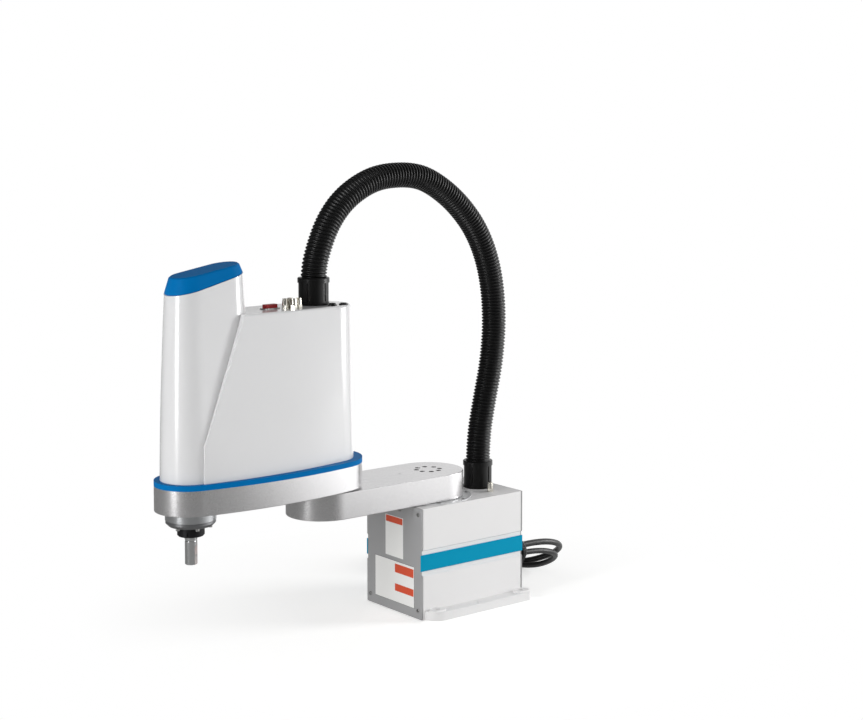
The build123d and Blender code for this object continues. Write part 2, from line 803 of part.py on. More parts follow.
def quill_screws():
    """Cap screws that hold the ring, their heads below it."""
    screws = []
    for i in range(quill_screw_count):
        angle = 2 * pi * (i + 0.25) / quill_screw_count
        x, y = quill_screw_circle * cos(angle), quill_screw_circle * sin(angle)
        head = pillar(3.2, quill_ring_z - 3.6, quill_ring_z, x, y)
        head -= Pos(x, y, quill_ring_z - 4.6) * extrude(RegularPolygon(1.6, 6), 2.6)
        screws.append(Pos(-arm_2_length, 0, 0) * head)
    return joined(screws)


def ring_bearing(z):
    """Sealed bearing round a nut at the quill."""
    top = z + bearing_width
    outer, inner = bearing_outer_radius - fit_clearance, bearing_inner_radius + running_gap
    body = tube(outer, inner, z, top, -arm_2_length)
    groove = tube(bearing_outer_radius - 3, bearing_inner_radius + 3, top - 1, top, -arm_2_length)
    return body - groove


def pulley(radius, hub, z, x=0.0, y=0.0):
    """Toothed belt pulley with two flanges, centred on a height."""
    half = belt_width / 2 + 0.6
    body = pillar(radius, z - half, z + half, x, y)
    body += pillar(radius + 2, z - half - 1.4, z - half, x, y)
    body += pillar(radius + 2, z + half, z + half + 1.4, x, y)
    return body - pillar(hub, z - half - 2, z + half + 2, x, y)


def spline_nut():
    """Spline nut with its pulley, turning in the casting's hub."""
    body = tube(nut_radius, shaft_clear_radius, quill_ring_z, spline_nut_top_z, -arm_2_length)
    return body + pulley(pulley_radius, nut_radius - 1, spin_belt_z, -arm_2_length)


def lock_nut():
    """Dark slotted nut under the spline nut."""
    body = tube(lock_nut_radius, shaft_clear_radius + 0.3, lock_nut_z, lock_nut_z + lock_nut_height)
    body = chamfer(body.faces().sort_by(Axis.Z)[0].edges().sort_by(SortBy.LENGTH)[-1:], 2.0)
    slot_top = lock_nut_z + 9
    for i in range(4):
        cut = block(lock_nut_radius - 2.2, lock_nut_radius + 1, -2.5, 2.5, lock_nut_z - 1, slot_top)
        body -= Rot(0, 0, 45 + 90 * i) * cut
    body += tube(nut_radius - 1, shaft_clear_radius + 0.3, lock_nut_z + lock_nut_height, quill_ring_z)
    return Pos(-arm_2_length, 0, 0) * body


def screw_nut():
    """Ball screw nut with its pulley, above the spline nut."""
    body = tube(nut_radius, shaft_clear_radius, screw_nut_bottom_z, screw_nut_top_z, -arm_2_length)
    return body + pulley(pulley_radius, nut_radius - 1, z_belt_z, -arm_2_length)


def quill_shaft():
    """Hollow ball screw spline shaft, with a ground end for tools below its thread relief."""
    end_top = shaft_bottom_z + shaft_end_length
    shaft = pillar(shaft_radius, shaft_bottom_z, shaft_top_z)
    shaft -= tube(shaft_radius + 1, shaft_relief_radius, end_top, end_top + shaft_relief_width)
    shaft = chamfer(shaft.faces().sort_by(Axis.Z)[0].edges(), 0.8)
    shaft -= pillar(shaft_bore_radius, shaft_bottom_z - 1, shaft_top_z + 1)
    flat_top = shaft_bottom_z + shaft_flat_length
    reach = shaft_radius - shaft_flat_depth
    flat = block(reach, shaft_radius + 2, -12, 12, shaft_bottom_z - 1, flat_top)
    shaft -= Rot(0, 0, -62) * flat
    dimple = Rot(0, 90, 0) * Cone(0, shaft_dimple_radius, 2.2, align=(Align.CENTER, Align.CENTER, Align.MIN))
    shaft -= Rot(0, 0, -62) * (Pos(reach - 1.8, 0, shaft_bottom_z + shaft_flat_length / 2) * dimple)
    return Pos(-arm_2_length, 0, 0) * shaft


def stop_collar():
    """Collar clamped on the shaft's top, which ends its travel."""
    top = collar_z + collar_height
    body = tube(collar_radius, shaft_radius, collar_z, top)
    body -= block(shaft_radius - 1, collar_radius + 1, -1, 1, collar_z - 1, top + 1)
    return Pos(-arm_2_length, 0, 0) * body


def drive_motor(side, floor):
    """Servo motor of a belt drive, standing on the bracket, its shaft down."""
    case = bar(drive_motor_square, floor, floor + drive_motor_length)
    lid = bar(drive_motor_square - 8, floor + drive_motor_length, floor + drive_motor_length + 12)
    motor = case + lid + pillar(drive_shaft_radius, floor - 26, floor)
    return Pos(drive_motor_x, side * drive_motor_y, 0) * motor


def motor_pulley(side, z):
    """Small pulley on a drive motor's shaft."""
    hub = drive_shaft_radius + fit_clearance
    return pulley(motor_pulley_radius, hub, z, drive_motor_x, side * drive_motor_y)


def belt(side, z):
    """Closed belt round a motor pulley and the quill's pulley, just clear of both."""
    quill, motor = Vector(-arm_2_length, 0, 0), Vector(drive_motor_x, side * drive_motor_y, 0)
    apart = (quill - motor).length
    heading = degrees(atan2(motor.Y - quill.Y, motor.X - quill.X))

    def loop(grow):
        big, small = pulley_radius + grow, motor_pulley_radius + grow
        lean = (big - small) / apart
        rise = sqrt(1 - lean * lean)
        near_x, far_x = big * lean, apart + small * lean
        edges = [
            Line((near_x, big * rise), (far_x, small * rise)),
            ThreePointArc((far_x, small * rise), (apart + small, 0), (far_x, -small * rise)),
            Line((far_x, -small * rise), (near_x, -big * rise)),
            ThreePointArc((near_x, -big * rise), (-big, 0), (near_x, big * rise)),
        ]
        return make_face(edges)

    band = extrude(loop(belt_gap + belt_thickness) - loop(belt_gap), belt_width)
    return Pos(quill.X, quill.Y, z - belt_width / 2) * Rot(0, 0, heading) * band


def spin_floor_z():
    """Height of the plate that the quill's spin motor stands on."""
    return spin_belt_z + belt_width / 2 + 10


def z_floor_z():
    """Height of the plate that the quill's lift motor stands on."""
    return z_belt_z + belt_width / 2 + 10


def motor_bracket():
    """Upright web with a plate for each motor and an arm for the screw nut's bearing."""
    floor = arm_2_z + arm_2_floor
    x0, x1 = drive_motor_x - bracket_width / 2, drive_motor_x + bracket_width / 2
    web = block(x0 + 6, x1 + 8, -bracket_thickness / 2, bracket_thickness / 2, floor, z_floor_z())
    foot = block(x0 + 6, x1 + 8, -20, 20, floor, floor + 6)
    low_z = spin_floor_z()
    low = block(x0, x1, -drive_motor_y - 22, bracket_thickness / 2, low_z - bracket_thickness, low_z)
    z0, z1 = z_floor_z() - bracket_thickness, z_floor_z()
    high = block(x0, x1, -bracket_thickness / 2, drive_motor_y + 22, z0, z1)
    reach = block(-arm_2_length, x0 + 2, bracket_thickness / 2 - 3, 34, z0, z1)
    seat = pillar(bearing_outer_radius + 5, z0, z1 + 8, -arm_2_length)
    body = web + foot + low + high + reach + seat
    body -= pillar(bearing_outer_radius, z0 + 2, z1 + 9, -arm_2_length)
    body -= pillar(nut_radius + 3, z0 - 1, z1, -arm_2_length)
    body -= pillar(drive_shaft_radius + 1, z0 - 1, z1 + 1, drive_motor_x, drive_motor_y)
    body -= pillar(drive_shaft_radius + 1, low_z - 9, low_z + 1, drive_motor_x, -drive_motor_y)
    return body


def route_tube(points, diameter, name):
    """Tube along straight runs joined by the largest tangent arcs that the runs allow."""
    path = [Vector(*p) for p in points]
    radii = []
    for before, here, after in zip(path, path[1:], path[2:]):
        shorter = min((here - before).length, (after - here).length)
        turn = radians((here - before).get_angle(after - here))
        radii.append(0.45 * shorter / tan(turn / 2))
    wire = FilletPolyline(*path, radius=radii)
    start = Plane(origin=path[0], z_dir=path[1] - path[0])
    body = sweep(start * Circle(diameter / 2), path=wire)
    share = body.volume / (pi * diameter * diameter / 4 * wire.length)
    rounded = [round(r) for r in radii]
    print(name, "length", round(wire.length), "volume share", round(share, 4), "radii", rounded)
    return body


# The conduit's route rises from the base, arches over and comes down on the second arm
hose_top = (-62.0, 0.0, 774.6)
hose_lower_route = [
    (base_fitting_x, 0.0, base_height + base_fitting_height - 15),
    (base_fitting_x + 0.3, 0.0, 285.0),
    (132.0, 0.0, 355.0),
    (151.0, 0.0, 432.0),
    (157.0, 0.0, 515.0),
    (146.0, 0.0, 598.0),
    (116.0, 0.0, 668.0),
    (69.0, 0.0, 721.0),
    (15.0, 0.0, 758.0),
    (-30.0, 0.0, 774.6),
    hose_top,
]
hose_upper_route = [
    hose_top,
    (-94.0, 0.0, 774.6),
    (-138.0, 0.0, 763.0),
    (-184.0, 0.0, 736.0),
    (-217.0, -0.3, 698.0),
    (-237.0, -0.8, 654.0),
    (-247.2, -1.1, 619.0),
    (-247.4, -1.2, 594.0),
]
power_route = [
    (lead_start_x, gland_y, gland_z + 8.0),
    (194.0, -50.0, 87.2),
    (221.0, -50.3, 86.5),
    (248.0, -50.0, 83.2),
    (273.0, -46.0, 76.0),
    (294.0, -34.0, 64.5),
    (308.0, -13.0, 50.0),
    (312.0, 12.0, 35.5),
    (309.0, 39.0, 23.0),
    (302.0, 66.0, 13.0),
    (292.0, 92.0, 7.0),
    (281.5, 118.0, 5.9),
    (273.0, 144.0, 5.8),
    (267.8, 168.0, 5.8),
    (266.7, 190.0, 5.75),
]
signal_route = [
    (lead_start_x, gland_y, gland_z - 6.5),
    (194.0, -50.0, 72.2),
    (221.0, -50.0, 70.0),
    (246.0, -48.5, 65.3),
    (269.0, -43.0, 57.2),
    (288.0, -29.0, 45.5),
    (299.0, -8.0, 31.8),
    (301.0, 17.0, 18.8),
    (297.0, 43.0, 9.5),
    (288.0, 68.0, 5.8),
    (277.0, 92.0, 7.5),
    (268.0, 116.0, 14.5),
    (262.8, 141.0, 26.0),
    (261.0, 165.0, 31.0),
    (260.7, 188.0, 29.3),
]
power_tail_route = [
    (113.5, 190.0, 17.25),
    (113.4, 172.0, 16.5),
    (107.9, 154.9, 15.0),
    (97.3, 140.3, 13.2),
    (82.7, 129.7, 12.3),
    (65.6, 124.1, 12.0),
    (47.6, 123.9, 12.0),
]
signal_tail_route = [
    (120.5, 176.0, 40.5),
    (127.0, 158.0, 46.0),
    (140.0, 145.0, 52.5),
    (158.0, 138.0, 56.1),
    (176.0, 137.0, 56.1),
]


def cable_coil(mean_radius, diameter, bottom):
    """Outer shape of a wound coil: turns side by side, in layers."""
    half = coil_turns_across * diameter / 2
    top = bottom + coil_layers * diameter
    return tube(mean_radius + half, mean_radius - half, bottom, top, coil_x, coil_y)


def cable_plug(route):
    """Round connector in line with the cable's end: boot, barrel and coupling ring."""
    foot = (Align.CENTER, Align.CENTER, Align.MIN)
    boot = Cone(sheath_radius - 1, sheath_radius + 1.5, sheath_length, align=foot)
    barrel = Pos(0, 0, sheath_length) * extrude(Circle(plug_radius - 1.5), plug_length)
    ring = Pos(0, 0, sheath_length + 14) * extrude(Circle(plug_radius), 20)
    mouth = Pos(0, 0, sheath_length + plug_length - 9) * extrude(Circle(plug_radius - 3.5), 10)
    end = Vector(*route[-1])
    return Plane(origin=end, z_dir=end - Vector(*route[-2])) * (boot + barrel + ring - mouth)


def write_parts():
    """Builds every piece and writes it to its own file."""
    rear_z = base_rear_x - panel_thickness
    power_coil_top = coil_layers * power_diameter
    gland_hole = Pos(rear_z - 1, gland_y, gland_z) * Rot(0, 90, 0) * extrude(Circle(gland_radius - 8), 5)
    parts = {
        "base_casting": base_casting(),
        "front_panel": end_panel(base_front_x),
        "rear_panel": end_panel(rear_z, gland_hole),
        "base_screws": base_screws(),
        "side_strip_right": strip(-1),
        "side_strip_left": strip(1),
        "j1_ring": j1_ring(),
        "j1_reducer": j1_reducer(),
        "j1_motor": j1_motor(),
        "base_hose_fitting": Pos(base_fitting_x, 0, base_height) * hose_fitting(base_fitting_height),
        "base_air_fitting": Pos(air_fitting_x, air_fitting_y, base_height) * air_fitting(),
        "cable_gland": cable_gland(),
        "rear_connector": rear_connector(),
        "power_cable": route_tube(power_route, power_diameter, "power_cable"),
        "power_coil": cable_coil(power_coil_radius, power_diameter, 0),
        "power_tail": route_tube(power_tail_route, power_diameter, "power_tail"),
        "power_plug": cable_plug(power_tail_route),
        "signal_cable": route_tube(signal_route, signal_diameter, "signal_cable"),
        "signal_coil": cable_coil(signal_coil_radius, signal_diameter, power_coil_top),
        "signal_tail": route_tube(signal_tail_route, signal_diameter, "signal_tail"),
        "signal_plug": cable_plug(signal_tail_route),
        "arm_1_casting": arm_1_casting(),
        "arm_1_cover": arm_1_cover(),
        "j1_output_flange": j1_output_flange(),
        "j1_screws": j1_screws(),
        "j2_reducer": j2_reducer(),
        "hose_lower": route_tube(hose_lower_route, hose_diameter, "hose_lower"),
        "hose_upper": route_tube(hose_upper_route, hose_diameter, "hose_upper"),
    }
    top_place = Pos(0, 0, cover_top_z)
    arm_2_parts = {
        "arm_2_casting": arm_2_casting(),
        "j2_output_flange": j2_output_flange(),
        "j2_motor": j2_motor(),
        "cover_gasket": cover_gasket(),
        "main_cover": main_cover(),
        "tower_cover": tower_cover(),
        "tower_cap": tower_cap(),
        "arm_hose_fitting": top_place * Pos(arm_fitting_x, 0, 0) * hose_fitting(arm_fitting_height),
        "arm_air_fittings": joined([top_place * Pos(x, y, 0) * air_fitting() for x, y in arm_air_places]),
        "arm_connector": top_place * Pos(connector_x, connector_y, 0) * arm_connector(),
        "connector_cap": top_place * Pos(connector_x, connector_y, 0) * connector_cap(),
        "button_bezel": top_place * Pos(button_x, button_y, 0) * button_bezel(),
        "brake_button": top_place * Pos(button_x, button_y, 0) * brake_button(),
        "quill_flange": quill_flange(),
        "quill_ring": quill_ring(),
        "quill_screws": quill_screws(),
        "spline_bearing": ring_bearing(arm_2_z + arm_2_floor - 2),
        "screw_bearing": ring_bearing(z_floor_z() - bracket_thickness + 2),
        "spline_nut": spline_nut(),
        "lock_nut": lock_nut(),
        "screw_nut": screw_nut(),
        "quill_shaft": quill_shaft(),
        "stop_collar": stop_collar(),
        "motor_bracket": motor_bracket(),
        "spin_motor": drive_motor(-1, spin_floor_z()),
        "z_motor": drive_motor(1, z_floor_z()),
        "spin_motor_pulley": motor_pulley(-1, spin_belt_z),
        "z_motor_pulley": motor_pulley(1, z_belt_z),
        "spin_belt": belt(-1, spin_belt_z),
        "z_belt": belt(1, z_belt_z),
    }
    for name, shape in arm_2_parts.items():
        parts[name] = on_arm_2(shape)
    for name, shape in parts.items():
        export_step(shape, f"parts/{name}.step")


write_parts()
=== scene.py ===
"""Looks of a four-axis selective compliance robot arm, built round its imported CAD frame."""

import json
import logging
import math
from dataclasses import dataclass
from enum import Enum
from typing import Any, Optional, Union

import bmesh
import bpy
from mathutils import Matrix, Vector


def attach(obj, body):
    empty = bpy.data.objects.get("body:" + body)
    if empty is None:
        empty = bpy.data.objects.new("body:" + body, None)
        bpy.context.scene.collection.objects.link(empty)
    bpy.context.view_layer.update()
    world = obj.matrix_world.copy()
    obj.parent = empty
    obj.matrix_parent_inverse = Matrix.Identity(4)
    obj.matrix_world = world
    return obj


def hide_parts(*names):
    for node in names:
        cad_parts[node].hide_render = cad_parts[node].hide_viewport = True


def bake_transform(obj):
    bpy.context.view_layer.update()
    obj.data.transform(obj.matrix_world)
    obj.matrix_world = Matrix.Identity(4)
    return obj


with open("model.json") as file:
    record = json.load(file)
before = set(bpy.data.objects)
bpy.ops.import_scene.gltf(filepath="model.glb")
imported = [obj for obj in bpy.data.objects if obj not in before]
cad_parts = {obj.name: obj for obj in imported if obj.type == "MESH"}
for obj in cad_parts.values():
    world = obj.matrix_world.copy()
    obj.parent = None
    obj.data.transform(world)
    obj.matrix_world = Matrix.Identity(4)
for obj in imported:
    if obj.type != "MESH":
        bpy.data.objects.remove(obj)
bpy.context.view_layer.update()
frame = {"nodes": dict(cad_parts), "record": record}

LOG = logging.getLogger("robot_arm")
MM = 0.001
Point = tuple[float, float, float]
Colour = tuple[float, float, float]
Stops = list[tuple[float, float]]
WHITE: Colour = (1.0, 1.0, 1.0)
BLACK: Colour = (0.0, 0.0, 0.0)


def metres(points: list[Point]) -> list[Vector]:
    """Turns points in millimetres into points in metres.

    Args:
        points: Places in millimetres, in the part's own frame.

    Returns:
        The same places in metres.
    """
    return [Vector(point) * MM for point in points]


def from_hex(code: str) -> Colour:
    """Reads a screen colour such as "1464A0" as linear light.

    Args:
        code: Six hexadecimal digits: red, green and blue.

    Returns:
        The linear red, green and blue.
    """
    shares = [int(code[i:i + 2], 16) / 255 for i in (0, 2, 4)]
    return tuple(s / 12.92 if s <= 0.04045 else ((s + 0.055) / 1.055) ** 2.4 for s in shares)


class Value:
    """A socket that carries a number, with operators that add Math nodes."""

    def __init__(self, graph: "Graph", socket: bpy.types.NodeSocket) -> None:
        """Keeps the socket and the graph that new nodes go into."""
        self.graph = graph
        self.socket = socket

    def _math(self, operation: str, first: Any, second: Any) -> "Value":
        """Adds one Math node and returns its result."""
        return self.graph.node("ShaderNodeMath", {"operation": operation}, {0: first, 1: second})

    def __add__(self, other: Any) -> "Value":
        """Adds."""
        return self._math("ADD", self, other)

    def __radd__(self, other: Any) -> "Value":
        """Adds, with the plain number first."""
        return self._math("ADD", other, self)

    def __sub__(self, other: Any) -> "Value":
        """Subtracts."""
        return self._math("SUBTRACT", self, other)

    def __rsub__(self, other: Any) -> "Value":
        """Subtracts from a plain number."""
        return self._math("SUBTRACT", other, self)

    def __mul__(self, other: Any) -> "Value":
        """Multiplies."""
        return self._math("MULTIPLY", self, other)

    def __rmul__(self, other: Any) -> "Value":
        """Multiplies, with the plain number first."""
        return self._math("MULTIPLY", other, self)

    def __truediv__(self, other: Any) -> "Value":
        """Divides."""
        return self._math("DIVIDE", self, other)

    def __pow__(self, other: Any) -> "Value":
        """Raises to a power."""
        return self._math("POWER", self, other)

    def cosine(self) -> "Value":
        """Cosine of an angle in radians."""
        return self._math("COSINE", self, 0.0)


class Graph:
    """A node tree that is written as expressions."""

    def __init__(self, tree: bpy.types.NodeTree) -> None:
        """Starts from a tree whose nodes are cleared."""
        self.tree = tree
        tree.nodes.clear()

    def node(self, kind: str, settings: Optional[dict] = None, inputs: Optional[dict] = None,
             output: Union[int, str] = 0) -> Value:
        """Adds a node, sets it up, and feeds it.

        Args:
            kind: The node's type.
            settings: Attributes of the node, set before its sockets; "stops" fills a colour ramp.
            inputs: Socket name or number to a Value or a plain value.
            output: Which result to return.

        Returns:
            The chosen result.
        """
        made = self.tree.nodes.new(kind)
        for name, value in (settings or {}).items():
            if name == "stops":
                self._fill_ramp(made.color_ramp, value)
            else:
                setattr(made, name, value)
        for name, value in (inputs or {}).items():
            socket = made.inputs[name]
            if isinstance(value, Value):
                self.tree.links.new(value.socket, socket)
            else:
                socket.default_value = value
        return Value(self, made.outputs[output] if len(made.outputs) else None)

    def length(self, place: Value) -> Value:
        """Distance of a place from the origin."""
        return self.node("ShaderNodeVectorMath", {"operation": "LENGTH"}, {0: place}, "Value")

    def along(self, axis: str, place: Value) -> Value:
        """How far a place lies along the X, Y or Z axis."""
        return self.node("ShaderNodeSeparateXYZ", {}, {"Vector": place}, axis)

    @staticmethod
    def _fill_ramp(ramp: bpy.types.ColorRamp, stops: Stops) -> None:
        """Sets a grey ramp's stops, each a place and a brightness."""
        while len(ramp.elements) < len(stops):
            ramp.elements.new(1.0)
        for element, (place, grey) in zip(ramp.elements, stops):
            element.position = place
            element.color = (grey, grey, grey, 1.0)


class ShaderGraph(Graph):
    """A material's node tree."""

    def __init__(self, name: str) -> None:
        """Makes the material."""
        self.material = bpy.data.materials.new(name)
        self.material.use_nodes = True
        super().__init__(self.material.node_tree)
        self.place = self.node("ShaderNodeTexCoord", output="Object")

    def noise(self, scale: float, detail: float, stretch: Point = (1.0, 1.0, 1.0)) -> Value:
        """Smooth noise over the surface, from nought to one.

        Args:
            scale: Features to the metre.
            detail: How many finer layers it has.
            stretch: Factor on each axis, for brushed or drawn finishes.

        Returns:
            The noise.
        """
        place = self.node("ShaderNodeMapping", {}, {"Vector": self.place, "Scale": stretch})
        return self.node("ShaderNodeTexNoise", {}, {"Vector": place, "Scale": scale, "Detail": detail})

    def blend(self, low: Colour, high: Colour, share: Value) -> Value:
        """Mixes two colours by a number from nought to one."""
        settings = {"data_type": "RGBA", "clamp_factor": True}
        values = {0: share, 6: (*low, 1.0), 7: (*high, 1.0)}
        return self.node("ShaderNodeMix", settings, values, 2)

    def bump(self, height: Value, depth: float) -> Value:
        """Bump from a height, its full swing given in metres."""
        return self.node("ShaderNodeBump", {}, {"Height": height, "Distance": depth, "Strength": 1.0})

    def finish(self, shader: Value) -> bpy.types.Material:
        """Closes the tree with its surface.

        Args:
            shader: The surface shader.

        Returns:
            The finished material.
        """
        self.node("ShaderNodeOutputMaterial", {}, {"Surface": shader})
        return self.material


def mottled(colour: Colour, amount: float) -> tuple[Colour, Colour]:
    """A slightly darker and a slightly lighter form of a colour."""
    return tuple(c * (1 - amount) for c in colour), tuple(min(1.0, c * (1 + amount)) for c in colour)


@dataclass(frozen=True)
class Finish:
    """How a surface looks: its colour, its gloss, and how both vary over it."""

    name: str
    colour: str
    roughness: float = 0.4
    metallic: float = 0.0
    coat: float = 0.0
    variation: float = 0.03
    variation_scale: float = 14.0
    roughness_swing: float = 0.08
    grain_scale: float = 1400.0
    grain_depth: float = 0.00001
    grain_stretch: Point = (1.0, 1.0, 1.0)
    specular: float = 0.5
    coat_roughness: float = 0.12
    cloud_detail: float = 4.0
    grain_detail: float = 2.0
    cloud_share: float = 0.7

    def build(self) -> bpy.types.Material:
        """Makes the material.

        Returns:
            The finished material.
        """
        graph = ShaderGraph(self.name)
        cloud = graph.noise(self.variation_scale, self.cloud_detail)
        grain = graph.noise(self.grain_scale, self.grain_detail, self.grain_stretch)
        low, high = mottled(from_hex(self.colour), self.variation)
        colour = graph.blend(low, high, cloud * self.cloud_share + grain * (1.0 - self.cloud_share))
        gloss = self.roughness + (cloud - 0.5) * self.roughness_swing + (grain - 0.5) * self.roughness_swing
        return graph.finish(graph.node("ShaderNodeBsdfPrincipled", {}, {
            "Base Color": colour,
            "Roughness": gloss,
            "Metallic": self.metallic,
            "Coat Weight": self.coat,
            "Coat Roughness": self.coat_roughness,
            "Specular IOR Level": self.specular,
            "Normal": graph.bump(grain, self.grain_depth),
        }))


@dataclass(frozen=True)
class TurnedMetal(Finish):
    """Metal with fine rings left by a lathe round an upright axis."""

    centre: Point = (0.0, 0.0, 0.0)
    ring_pitch: float = 0.0006
    cloud_share: float = 0.6

    def build(self) -> bpy.types.Material:
        """Makes the material, its rings round the axis through the centre."""
        graph = ShaderGraph(self.name)
        from_axis = {0: graph.place, 1: self.centre}
        place = graph.node("ShaderNodeVectorMath", {"operation": "SUBTRACT"}, from_axis)
        no_height = {0: place, 1: (1.0, 1.0, 0.0)}
        flat = graph.node("ShaderNodeVectorMath", {"operation": "MULTIPLY"}, no_height)
        outwards_and_up = graph.length(flat) + graph.along("Z", place)
        rings = (outwards_and_up * (2 * math.pi / self.ring_pitch)).cosine() * 0.5 + 0.5
        cloud = graph.noise(self.variation_scale, self.cloud_detail)
        low, high = mottled(from_hex(self.colour), self.variation)
        colour = graph.blend(low, high, cloud * self.cloud_share + rings * (1.0 - self.cloud_share))
        return graph.finish(graph.node("ShaderNodeBsdfPrincipled", {}, {
            "Base Color": colour,
            "Roughness": self.roughness + (rings - 0.5) * self.roughness_swing,
            "Metallic": self.metallic,
            "Normal": graph.bump(rings, self.grain_depth),
        }))


QUILL_AXIS = (-0.4994, -0.0179, 0.0)
PAINT_WHITE = Finish("paint_white", "EEEDED", 0.5, variation=0.02, grain_scale=900.0, grain_depth=0.00003,
                     specular=0.2)
PAINT_SILVER = Finish("paint_silver", "D8D7D8", 0.27, metallic=0.96, variation=0.02, grain_depth=0.00001)
PANEL_GREY = Finish("panel_light_grey", "A3A3A4", 0.5, variation=0.02, grain_scale=1100.0)
COVER_WHITE = Finish("cover_white", "DEDEDF", 0.24, coat=0.7, variation=0.012, grain_scale=700.0,
                     grain_depth=0.000008)
TRIM_BLUE = Finish("trim_blue", "006CAE", 0.45, variation=0.03, specular=0.03)
TRIM_CYAN = Finish("trim_cyan", "0096BC", 0.4, variation=0.03, specular=0.06)
DRAWN: Point = (1.0, 1.0, 14.0)
MACHINED = Finish("machined_aluminium", "C9CBCC", 0.3, metallic=1.0, grain_scale=500.0, grain_stretch=DRAWN)
STEEL = Finish("ground_steel", "B4B4B3", 0.28, metallic=1.0, grain_scale=500.0, grain_stretch=DRAWN)
DARK_STEEL = Finish("blackened_steel", "262628", 0.4, metallic=0.8, variation=0.1)
BLACK_PLASTIC = Finish("black_nylon", "0C0C0D", 0.34, variation=0.12, grain_scale=800.0, grain_depth=0.00004,
                       specular=0.3)
HOSE_BLACK = Finish("conduit_black", "0A0A0B", 0.36, variation=0.15, roughness_swing=0.14, specular=0.35)
JACKET = Finish("cable_jacket", "121213", 0.45, variation=0.12, grain_scale=1200.0, grain_depth=0.00003)
MOTOR_BLACK = Finish("motor_black", "202124", 0.5, variation=0.1)
NICKEL = Finish("nickel_plate", "DCD9D0", 0.2, metallic=1.0, variation=0.05)
RED_PLASTIC = Finish("red_plastic", "B01E22", 0.42, variation=0.06)
TURNED = TurnedMetal("turned_flange", "C4C6C8", 0.26, metallic=1.0, centre=QUILL_AXIS, grain_depth=0.00001)
POLISHED = TurnedMetal("ground_shaft", "D2D3D4", 0.16, metallic=1.0, centre=QUILL_AXIS, grain_depth=0.000003)
LABEL_WHITE = Finish("label_white", "F4F4F2", 0.42, variation=0.015)
LABEL_ORANGE = Finish("label_orange", "DC5230", 0.42, variation=0.03)
MARK_GREY = Finish("mark_grey", "5A5C5F", 0.5, variation=0.03)

SLOT_FINISHES = {
    "painted_base": PAINT_WHITE,
    "painted_arm": PAINT_SILVER,
    "panel_grey": PANEL_GREY,
    "cover_white": COVER_WHITE,
    "trim_blue": TRIM_BLUE,
    "trim_cyan": TRIM_CYAN,
    "machined": MACHINED,
    "steel": STEEL,
    "polished": POLISHED,
    "dark_steel": DARK_STEEL,
    "black_plastic": BLACK_PLASTIC,
    "hose_black": HOSE_BLACK,
    "cable_jacket": JACKET,
    "belt_rubber": JACKET,
    "motor_black": MOTOR_BLACK,
    "nickel": NICKEL,
    "red_plastic": RED_PLASTIC,
}
RING_LIGHT = Finish("ring_light_grey", "D2D3D4", 0.48, metallic=0.2, variation=0.02, grain_scale=900.0)
QUILL_STEEL = TurnedMetal("quill_ring_steel", "8F9092", 0.3, metallic=1.0, centre=QUILL_AXIS)
NODE_FINISHES = {
    "quill_flange": TURNED,
    "j1_ring": RING_LIGHT,
    "quill_ring": QUILL_STEEL,
    "quill_screws": STEEL,
}


class Workshop:
    """Makes each material once and turns meshes into pieces of the model."""

    def __init__(self) -> None:
        """Starts with no materials."""
        self.made: dict[str, bpy.types.Material] = {}

    def material(self, finish: Finish) -> bpy.types.Material:
        """The material of a finish, made at its first use."""
        if finish.name not in self.made:
            self.made[finish.name] = finish.build()
        return self.made[finish.name]

    def show(self, name: str, mesh: bpy.types.Mesh, finishes: list[Finish]) -> bpy.types.Object:
        """Puts a mesh into the scene, and dresses it if it has no material yet.

        Args:
            name: The object's name.
            mesh: Its mesh, already in place.
            finishes: One for each material slot.

        Returns:
            The new object.
        """
        if not mesh.materials:
            for finish in finishes:
                mesh.materials.append(self.material(finish))
        made = bpy.data.objects.new(name, mesh)
        bpy.context.scene.collection.objects.link(made)
        return made

    def piece(self, name: str, mesh: bpy.types.Mesh, finishes: list[Finish], body: str,
              slot: str) -> bpy.types.Object:
        """Puts a mesh into the scene as a piece that rides on a body.

        Args:
            name: The piece's name.
            mesh: Its mesh, already in place.
            finishes: One for each material slot.
            body: The CAD body it rides on.
            slot: The record's slot that its finish belongs to; not used.

        Returns:
            The new object.
        """
        made = self.show(name, mesh, finishes)
        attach(made, body)
        LOG.info("%s: %d faces on %s", name, len(mesh.polygons), body)
        return made

    def dress_frame(self) -> None:
        """Gives every CAD node that stays in sight its finish."""
        for row in frame["record"]["subparts"]:
            node = frame["nodes"][row["node"]]
            finish = NODE_FINISHES.get(row["node"], SLOT_FINISHES[row["material_slot"]])
            for slot in node.material_slots:
                slot.material = self.material(finish)


